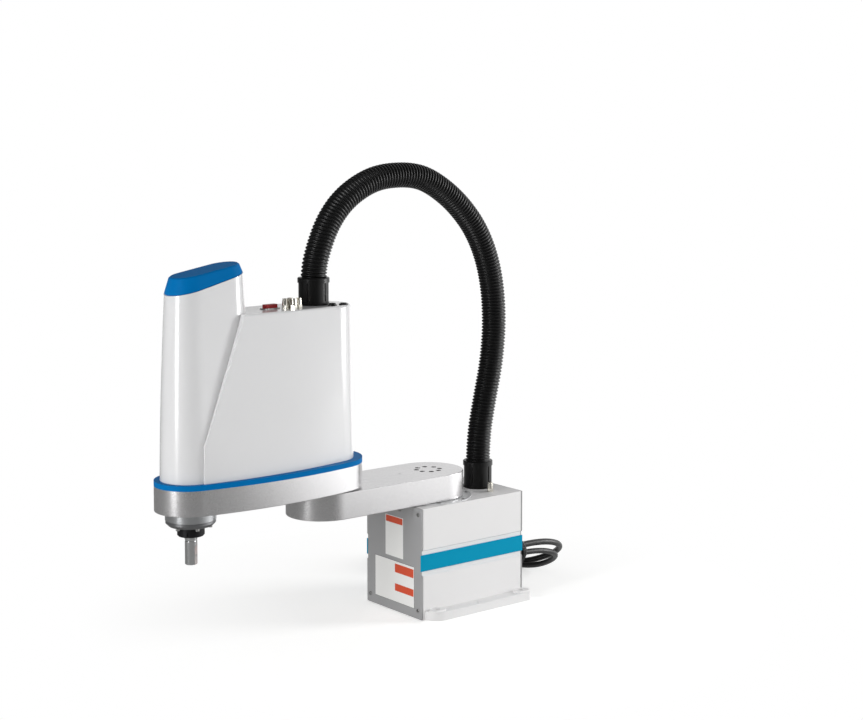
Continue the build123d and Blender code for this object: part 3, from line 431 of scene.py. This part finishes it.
class GeometryTree(Graph):
    """A Geometry Nodes tree that ends in realized, dressed geometry."""

    def __init__(self, name: str, sizes: dict[str, str]) -> None:
        """Makes the tree's interface.

        Args:
            name: The tree's name.
            sizes: Input name to socket type.
        """
        self.group = bpy.data.node_groups.new(name, "GeometryNodeTree")
        self.group.interface.new_socket("Geometry", in_out="INPUT", socket_type="NodeSocketGeometry")
        for label, kind in sizes.items():
            self.group.interface.new_socket(label, in_out="INPUT", socket_type=kind)
        self.group.interface.new_socket("Material", in_out="INPUT", socket_type="NodeSocketMaterial")
        self.group.interface.new_socket("Geometry", in_out="OUTPUT", socket_type="NodeSocketGeometry")
        super().__init__(self.group)
        self.start = self.tree.nodes.new("NodeGroupInput")

    def given(self, name: str) -> Value:
        """One of the tree's inputs."""
        return Value(self, self.start.outputs[name])

    def close(self, geometry: Value, smooth: bool = True) -> None:
        """Ends the tree: shading, real geometry, and its material."""
        shaded = self.node("GeometryNodeSetShadeSmooth", {}, {"Geometry": geometry, "Shade Smooth": smooth})
        real = self.node("GeometryNodeRealizeInstances", {}, {"Geometry": shaded})
        values = {"Geometry": real, "Material": self.given("Material")}
        dressed = self.node("GeometryNodeSetMaterial", {}, values)
        self.node("NodeGroupOutput", {}, {"Geometry": dressed})

    def grow(self, seed: bpy.types.Mesh, sizes: dict[str, Any]) -> bpy.types.Mesh:
        """Runs the tree on a mesh and keeps the result as a plain mesh.

        Args:
            seed: What the tree starts from.
            sizes: Input name to value.

        Returns:
            The new mesh.
        """
        carrier = bpy.data.objects.new("carrier", seed)
        bpy.context.scene.collection.objects.link(carrier)
        modifier = carrier.modifiers.new("grow", "NODES")
        modifier.node_group = self.group
        for item in self.group.interface.items_tree:
            if item.in_out == "INPUT" and item.name in sizes:
                modifier[item.identifier] = sizes[item.name]
        graph = bpy.context.evaluated_depsgraph_get()
        mesh = bpy.data.meshes.new_from_object(carrier.evaluated_get(graph), depsgraph=graph)
        carrier.modifiers.remove(modifier)
        bpy.data.objects.remove(carrier)
        return mesh


def smooth_line(points: list[Vector], resolution: int = 24) -> tuple[bpy.types.Object, list[Vector]]:
    """Lays a NURBS curve through the air with the points as its control points.

    Args:
        points: The route.
        resolution: Steps between control points.

    Returns:
        The curve object, and the points along its line.
    """
    curve = bpy.data.curves.new("line", "CURVE")
    curve.dimensions = "3D"
    spline = curve.splines.new("NURBS")
    spline.points.add(len(points) - 1)
    for target, place in zip(spline.points, points):
        target.co = (*place, 1.0)
    spline.order_u = 3
    spline.use_endpoint_u = True
    spline.resolution_u = resolution
    carrier = bpy.data.objects.new("line", curve)
    bpy.context.scene.collection.objects.link(carrier)
    graph = bpy.context.evaluated_depsgraph_get()
    mesh = bpy.data.meshes.new_from_object(carrier.evaluated_get(graph), depsgraph=graph)
    line = [vertex.co.copy() for vertex in mesh.vertices]
    bpy.data.meshes.remove(mesh)
    return carrier, line


def line_length(line: list[Vector]) -> float:
    """Length of a line of points, in metres."""
    return sum((after - before).length for before, after in zip(line, line[1:]))


HOSE_TOP = (-62.0, 0.0, 774.6)
HOSE_LOWER_ROUTE = [
    (117.3, 0.0, 232.0),
    (117.6, 0.0, 285.0),
    (132.0, 0.0, 355.0),
    (151.0, 0.0, 432.0),
    (157.0, 0.0, 515.0),
    (146.0, 0.0, 598.0),
    (116.0, 0.0, 668.0),
    (69.0, 0.0, 721.0),
    (15.0, 0.0, 758.0),
    (-30.0, 0.0, 774.6),
    HOSE_TOP,
]
HOSE_UPPER_ROUTE = [
    HOSE_TOP,
    (-94.0, 0.0, 774.6),
    (-138.0, 0.0, 763.0),
    (-184.0, 0.0, 736.0),
    (-217.0, -0.3, 698.0),
    (-237.0, -0.8, 654.0),
    (-247.2, -1.1, 619.0),
    (-247.4, -1.2, 594.0),
]
POWER_ROUTE = [
    (168.0, -50.0, 87.0),
    (194.0, -50.0, 87.2),
    (221.0, -50.3, 86.5),
    (248.0, -50.0, 83.2),
    (273.0, -46.0, 76.0),
    (294.0, -34.0, 64.5),
    (308.0, -13.0, 50.0),
    (312.0, 12.0, 35.5),
    (309.0, 39.0, 23.0),
    (302.0, 66.0, 13.0),
    (292.0, 92.0, 7.0),
    (281.5, 118.0, 5.9),
    (273.0, 144.0, 5.8),
    (267.8, 168.0, 5.8),
]
SIGNAL_ROUTE = [
    (168.0, -50.0, 72.5),
    (194.0, -50.0, 72.2),
    (221.0, -50.0, 70.0),
    (246.0, -48.5, 65.3),
    (269.0, -43.0, 57.2),
    (288.0, -29.0, 45.5),
    (299.0, -8.0, 31.8),
    (301.0, 17.0, 18.8),
    (297.0, 43.0, 9.5),
    (288.0, 68.0, 5.8),
    (277.0, 92.0, 7.5),
    (268.0, 116.0, 14.5),
    (262.8, 141.0, 26.0),
    (261.0, 165.0, 31.0),
]
POWER_TAIL_ROUTE = [
    (113.4, 172.0, 16.5),
    (107.9, 154.9, 15.0),
    (97.3, 140.3, 13.2),
    (82.7, 129.7, 12.3),
    (65.6, 124.1, 12.0),
    (47.6, 123.9, 12.0),
]
SIGNAL_TAIL_ROUTE = [
    (120.5, 176.0, 40.5),
    (127.0, 158.0, 46.0),
    (140.0, 145.0, 52.5),
    (158.0, 138.0, 56.1),
    (176.0, 137.0, 56.1),
]
COIL_CENTRE = (190.0, 192.0)


class Body(Enum):
    """The CAD bodies that pieces ride on."""

    BASE = "base"
    ARM_1 = "arm_1"
    ARM_2 = "arm_2"


@dataclass
class Conduit:
    """The ribbed conduit that arches from the base to the second arm."""

    shop: Workshop
    radius: float = 0.0222
    depth: float = 0.0027
    pitch: float = 0.0060
    steps: int = 6
    sides: int = 40

    def tree(self) -> GeometryTree:
        """A tube along a line whose radius swells once in each pitch."""
        tree = GeometryTree("corrugated_tube", {
            "Radius": "NodeSocketFloat",
            "Depth": "NodeSocketFloat",
            "Pitch": "NodeSocketFloat",
            "Steps": "NodeSocketInt",
            "Sides": "NodeSocketInt",
        })
        line = tree.node("GeometryNodeMeshToCurve", {}, {"Mesh": tree.given("Geometry")})
        step = tree.given("Pitch") / tree.given("Steps")
        line = tree.node("GeometryNodeResampleCurve", {"mode": "LENGTH"}, {"Curve": line, "Length": step})
        along = tree.node("GeometryNodeSplineParameter", output="Length")
        wave = (along * (2 * math.pi) / tree.given("Pitch")).cosine() * 0.5 + 0.5
        swell = tree.given("Radius") - tree.given("Depth") * wave ** 2.0
        ring = tree.node("GeometryNodeCurvePrimitiveCircle", {},
                         {"Resolution": tree.given("Sides"), "Radius": 1.0})
        tube = tree.node("GeometryNodeCurveToMesh", {},
                         {"Curve": line, "Profile Curve": ring, "Scale": swell, "Fill Caps": True})
        tree.close(tube)
        return tree

    def span(self, tree: GeometryTree, name: str, route: list[Point]) -> tuple[bpy.types.Mesh, list[Vector]]:
        """One span of the conduit.

        Args:
            tree: The corrugated tube's tree.
            name: The span's name.
            route: Its control points in millimetres.

        Returns:
            The span's mesh, and the points of its centre line.
        """
        carrier, line = smooth_line(metres(route))
        bpy.data.objects.remove(carrier)
        seed = bpy.data.meshes.new(name)
        seed.from_pydata(line, [(i, i + 1) for i in range(len(line) - 1)], [])
        whole_ribs = max(1, round(line_length(line) / self.pitch))
        mesh = tree.grow(seed, {
            "Radius": self.radius,
            "Depth": self.depth,
            "Pitch": line_length(line) / whole_ribs,
            "Steps": self.steps,
            "Sides": self.sides,
            "Material": self.shop.material(HOSE_BLACK),
        })
        return mesh, line

    def build(self) -> None:
        """Makes both spans, and hides the CAD hoses they replace."""
        tree = self.tree()
        spans = [
            ("conduit_lower", "hose_lower", HOSE_LOWER_ROUTE, Body.BASE, Body.ARM_1),
            ("conduit_upper", "hose_upper", HOSE_UPPER_ROUTE, Body.ARM_1, Body.ARM_2),
        ]
        for name, node, route, first, last in spans:
            mesh, line = self.span(tree, name, route)
            piece = self.shop.show(name, mesh, [HOSE_BLACK])
            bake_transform(piece)
            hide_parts(node)
            LOG.info("%s: %.3f m of conduit, %d faces", name, line_length(line), len(mesh.polygons))


@dataclass
class Lead:
    """A cable from the gland, down to the floor, wound up, and on to its plug."""

    shop: Workshop
    name: str
    diameter: float
    route: list[Point]
    tail: list[Point]
    coil_radius: float
    coil_floor: float
    length: float
    turns_across: int = 3
    points_to_turn: int = 16

    def coil(self) -> list[Point]:
        """Control points of the turns: inwards on the floor, then outwards on top of them.

        Returns:
            The points, in millimetres.
        """
        width = self.diameter / MM
        outer = self.coil_radius + width * (self.turns_across - 1) / 2
        count = self.turns_across * self.points_to_turn
        step = 2 * math.pi / self.points_to_turn
        chord = 1 / math.cos(step / 2)
        points = []
        for i in range(2 * count + self.points_to_turn // 2):
            inward = min(i, count) / self.points_to_turn
            outward = max(0, i - count) / self.points_to_turn
            depth = min(inward, self.turns_across - 1) - max(0.0, outward - 1.0)
            radius = (outer - width * max(0.0, depth)) * chord
            climb = min(1.0, max(0.0, (i - count + self.points_to_turn / 4) / (self.points_to_turn / 2)))
            angle = step * i
            x = COIL_CENTRE[0] + radius * math.cos(angle)
            y = COIL_CENTRE[1] + radius * math.sin(angle)
            points.append((x, y, self.coil_floor + width * (0.5 + climb)))
        return points

    def build(self) -> bpy.types.Object:
        """Returns:
            The cable.
        """
        points = metres(self.route + self.coil() + self.tail)
        cable, line = smooth_line(points, 4)
        cable.name = f"{self.name}_lead"
        cable.data.bevel_depth = self.diameter / 2
        cable.data.bevel_resolution = 5
        cable.data.use_fill_caps = True
        cable.data.materials.append(self.shop.material(JACKET))
        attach(cable, Body.BASE.value)
        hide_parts(f"{self.name}_cable", f"{self.name}_coil", f"{self.name}_tail")
        LOG.info("%s: %.3f m", cable.name, line_length(line))
        return cable


@dataclass(frozen=True)
class Patch:
    """One plain coloured patch of a label, its edges in millimetres across and up the front panel."""

    left: float
    right: float
    bottom: float
    top: float
    finish: Finish
    lift: float = 0.0


@dataclass
class Label:
    """A thin blank label on the base's front panel, made of plain coloured patches."""

    shop: Workshop
    name: str
    patches: list[Patch]
    face: float = -77.0
    thickness: float = 0.25

    def build(self) -> bpy.types.Object:
        """Makes the label, one box for each patch.

        Returns:
            The label.
        """
        mesh = bpy.data.meshes.new(self.name)
        shape = bmesh.new()
        finishes: list[Finish] = []
        for patch in self.patches:
            if patch.finish not in finishes:
                finishes.append(patch.finish)
            low = Vector((self.face - self.thickness - patch.lift, patch.left, patch.bottom))
            high = Vector((self.face, patch.right, patch.top))
            made = bmesh.ops.create_cube(shape, size=1.0)
            bmesh.ops.scale(shape, vec=(high - low) * MM, verts=made["verts"])
            bmesh.ops.translate(shape, vec=(high + low) * MM / 2, verts=made["verts"])
            for face in {f for v in made["verts"] for f in v.link_faces}:
                face.material_index = finishes.index(patch.finish)
        shape.to_mesh(mesh)
        shape.free()
        return self.shop.piece(self.name, mesh, finishes, Body.BASE.value, "panel_grey")


UPPER_LABEL = [
    Patch(-26.6, 24.5, 98.0, 171.0, LABEL_WHITE),
    Patch(-25.0, 23.0, 158.5, 170.0, LABEL_ORANGE, 0.05),
]
LOWER_LABEL = [
    Patch(-58.7, 55.7, 16.8, 91.2, MARK_GREY, -0.1),
    Patch(-58.0, 55.0, 17.5, 90.5, LABEL_WHITE),
    Patch(-56.5, -3.0, 70.6, 86.1, LABEL_ORANGE, 0.05),
    Patch(-56.5, -3.0, 37.3, 50.4, LABEL_ORANGE, 0.05),
]


@dataclass
class GlandRibs:
    """Grip ribs round the nut of the cable gland, whose axis points to the rear."""

    shop: Workshop
    centre: Point = (168.0, -50.0, 79.0)
    radius: float = 23.9
    height: float = 6.0
    rib: float = 1.1
    rib_sides: int = 10
    count: int = 36
    turn: Point = (0.0, math.pi / 2, 0.0)

    def tree(self) -> GeometryTree:
        """Ribs that stand on a circle, turned and moved together."""
        tree = GeometryTree("grip_ribs", {
            "Radius": "NodeSocketFloat",
            "Height": "NodeSocketFloat",
            "Rib": "NodeSocketFloat",
            "Count": "NodeSocketInt",
            "Turn": "NodeSocketVector",
            "Centre": "NodeSocketVector",
        })
        circle = tree.node("GeometryNodeMeshCircle", {},
                           {"Vertices": tree.given("Count"), "Radius": tree.given("Radius")})
        sizes = {"Vertices": self.rib_sides, "Radius": tree.given("Rib"), "Depth": tree.given("Height")}
        rib = tree.node("GeometryNodeMeshCylinder", {}, sizes)
        ribs = tree.node("GeometryNodeInstanceOnPoints", {}, {"Points": circle, "Instance": rib})
        placed = tree.node("GeometryNodeTransform", {}, {
            "Geometry": ribs, "Translation": tree.given("Centre"), "Rotation": tree.given("Turn")})
        tree.close(placed, smooth=False)
        return tree

    def build(self) -> bpy.types.Object:
        """Makes the ribs.

        Returns:
            The ribs, as one piece.
        """
        mesh = self.tree().grow(bpy.data.meshes.new("gland_ribs"), {
            "Radius": self.radius * MM,
            "Height": self.height * MM,
            "Rib": self.rib * MM,
            "Count": self.count,
            "Turn": self.turn,
            "Centre": tuple(Vector(self.centre) * MM),
            "Material": self.shop.material(BLACK_PLASTIC),
        })
        return self.shop.piece("gland_ribs", mesh, [BLACK_PLASTIC], Body.BASE.value, "black_plastic")


@dataclass(frozen=True)
class Lamp:
    """A soft rectangular lamp, its place and its width and height in metres, its power in watts."""

    name: str
    place: Point
    size: tuple[float, float]
    power: float

    def hang(self, target: Point) -> None:
        """Hangs the lamp so that it faces a target."""
        data = bpy.data.lights.new(self.name, "AREA")
        data.shape = "RECTANGLE"
        data.size, data.size_y = self.size
        data.energy = self.power
        made = bpy.data.objects.new(self.name, data)
        made.location = self.place
        aim = Vector(target) - Vector(self.place)
        made.rotation_euler = aim.to_track_quat("-Z", "Y").to_euler()
        bpy.context.scene.collection.objects.link(made)


LAMPS = [
    Lamp("left_strip", (-3.4, -0.45, 0.8), (0.6, 2.2), 58.0),
    Lamp("right_panel", (3.1, -1.75, 1.05), (1.2, 2.0), 88.0),
    Lamp("overhead", (-0.3, -0.5, 3.2), (1.6, 1.6), 1.0),
]
MIRRORED_STOPS: Stops = [(0.0, 0.08), (0.7, 0.12), (0.79, 0.95), (1.0, 1.0)]
ROOM_STOPS: Stops = [(0.0, 0.85), (0.3, 0.6), (1.0, 0.12)]


@dataclass
class Studio:
    """Floor, light and camera."""

    lens: float = 68.83
    camera_place: Point = (-1.8207, -2.2903, 0.8655)
    azimuth: float = 38.61
    pitch: float = 4.63
    shift: float = -0.12
    clip_end: float = 100.0
    lamp_target: Point = (-0.15, 0.0, 0.35)
    room_level: float = 0.98
    floor_size: float = 30.0
    floor_drop: float = 0.0002
    floor_colour: Colour = (0.93, 0.93, 0.92)
    floor_glow: float = 0.44
    fade_start: float = 0.22
    fade_end: float = 0.62
    # mirror_start and mirror_end: where along X the floor's painted white reflection rises
    mirror_start: float = 0.0
    mirror_end: float = 0.7
    # painted reflection: how much black the floor shows to glossy rays alone
    painted_dark_reflection: float = 0.5

    def camera(self) -> None:
        """Stands the camera where the photographer's was."""
        data = bpy.data.cameras.new("camera")
        data.lens = self.lens
        data.shift_y = self.shift
        data.clip_end = self.clip_end
        made = bpy.data.objects.new("camera", data)
        made.location = self.camera_place
        made.rotation_euler = (math.radians(90 - self.pitch), 0.0, math.radians(-self.azimuth))
        bpy.context.scene.collection.objects.link(made)
        bpy.context.scene.camera = made

    def floor(self) -> None:
        """Lays a wide white floor that keeps the robot's shadow; in reflections alone it is painted half
        black, and glows white on its right, as painted reflections in the metal.
        """
        graph = ShaderGraph("floor_white")
        seen = graph.node("ShaderNodeLightPath", output="Is Camera Ray")
        mirrored = graph.node("ShaderNodeLightPath", output="Is Glossy Ray")
        side = graph.along("X", graph.place)
        mirror_range = {"From Min": self.mirror_start, "From Max": self.mirror_end}
        # painted reflection: the part of the floor that glows white to glossy rays alone
        painted_bright_reflection = graph.node("ShaderNodeMapRange", {"clamp": True}, {"Value": side, **mirror_range})
        fade_range = {"From Min": self.fade_start, "From Max": self.fade_end}
        faded = graph.node("ShaderNodeMapRange", {"clamp": True},
                           {"Value": graph.length(graph.place), **fade_range})
        plain = graph.node("ShaderNodeBsdfDiffuse", {}, {"Color": (*self.floor_colour, 1.0)})
        white = graph.node("ShaderNodeEmission", {}, {"Color": (*WHITE, 1.0), "Strength": 1.0})
        black = graph.node("ShaderNodeEmission", {}, {"Color": (*BLACK, 1.0), "Strength": 0.0})
        # painted reflection: glossy rays see the floor half black, a painted dark band in the metal
        unlit = seen * faded + mirrored * self.painted_dark_reflection
        shaded = graph.node("ShaderNodeMixShader", {}, {0: unlit, 1: plain, 2: black})
        # painted reflection: glossy rays see the floor glow white towards +X, a painted bright band in the
        # metal
        share = seen * (self.floor_glow + faded * (1.0 - self.floor_glow)) + mirrored * painted_bright_reflection
        glowing = graph.node("ShaderNodeMixShader", {}, {0: share, 1: black, 2: white})
        material = graph.finish(graph.node("ShaderNodeAddShader", {}, {0: shaded, 1: glowing}))
        half = self.floor_size / 2
        mesh = bpy.data.meshes.new("floor")
        corners = [(-half, -half), (half, -half), (half, half), (-half, half)]
        mesh.from_pydata([(x, y, -self.floor_drop) for x, y in corners], [], [(0, 1, 2, 3)])
        mesh.materials.append(material)
        floor = bpy.data.objects.new("floor", mesh)
        bpy.context.scene.collection.objects.link(floor)

    def world(self) -> None:
        """Fills the room with soft light, brighter low down, and mirrors white from the right alone."""
        world = bpy.data.worlds.new("room")
        world.use_nodes = True
        graph = Graph(world.node_tree)
        seen = graph.node("ShaderNodeLightPath", output="Is Camera Ray")
        mirrored = graph.node("ShaderNodeLightPath", output="Is Glossy Ray")
        direction = graph.node("ShaderNodeTexCoord", output="Generated")
        height = graph.along("Z", direction)
        side = graph.along("X", direction) * 0.5 + 0.5
        backdrop = graph.node("ShaderNodeValToRGB", {"stops": MIRRORED_STOPS}, {"Fac": side})
        room = graph.node("ShaderNodeValToRGB", {"stops": ROOM_STOPS}, {"Fac": height})
        unseen = mirrored * backdrop + (1.0 - mirrored) * room * self.room_level
        strength = seen + (1.0 - seen) * unseen
        shown = graph.node("ShaderNodeBackground", {}, {"Color": (*WHITE, 1.0), "Strength": strength})
        graph.node("ShaderNodeOutputWorld", {}, {"Surface": shown})
        bpy.context.scene.world = world

    def build(self) -> None:
        """Sets up the whole studio."""
        self.camera()
        self.floor()
        self.world()
        for lamp in LAMPS:
            lamp.hang(self.lamp_target)
        bpy.context.scene.view_settings.view_transform = "Standard"


def main() -> None:
    """Builds every piece in order."""
    logging.basicConfig(level=logging.INFO, format="%(message)s")
    shop = Workshop()
    shop.dress_frame()
    Studio().build()
    Conduit(shop).build()
    Lead(shop, "power", diameter=0.0115, route=POWER_ROUTE, tail=POWER_TAIL_ROUTE,
         coil_radius=65.0, coil_floor=0.0, length=3.17).build()
    Lead(shop, "signal", diameter=0.0105, route=SIGNAL_ROUTE, tail=SIGNAL_TAIL_ROUTE,
         coil_radius=60.0, coil_floor=23.0, length=2.93).build()
    Label(shop, "label_upper", UPPER_LABEL).build()
    Label(shop, "label_lower", LOWER_LABEL).build()
    GlandRibs(shop).build()


if __name__ == "__main__":
    main()
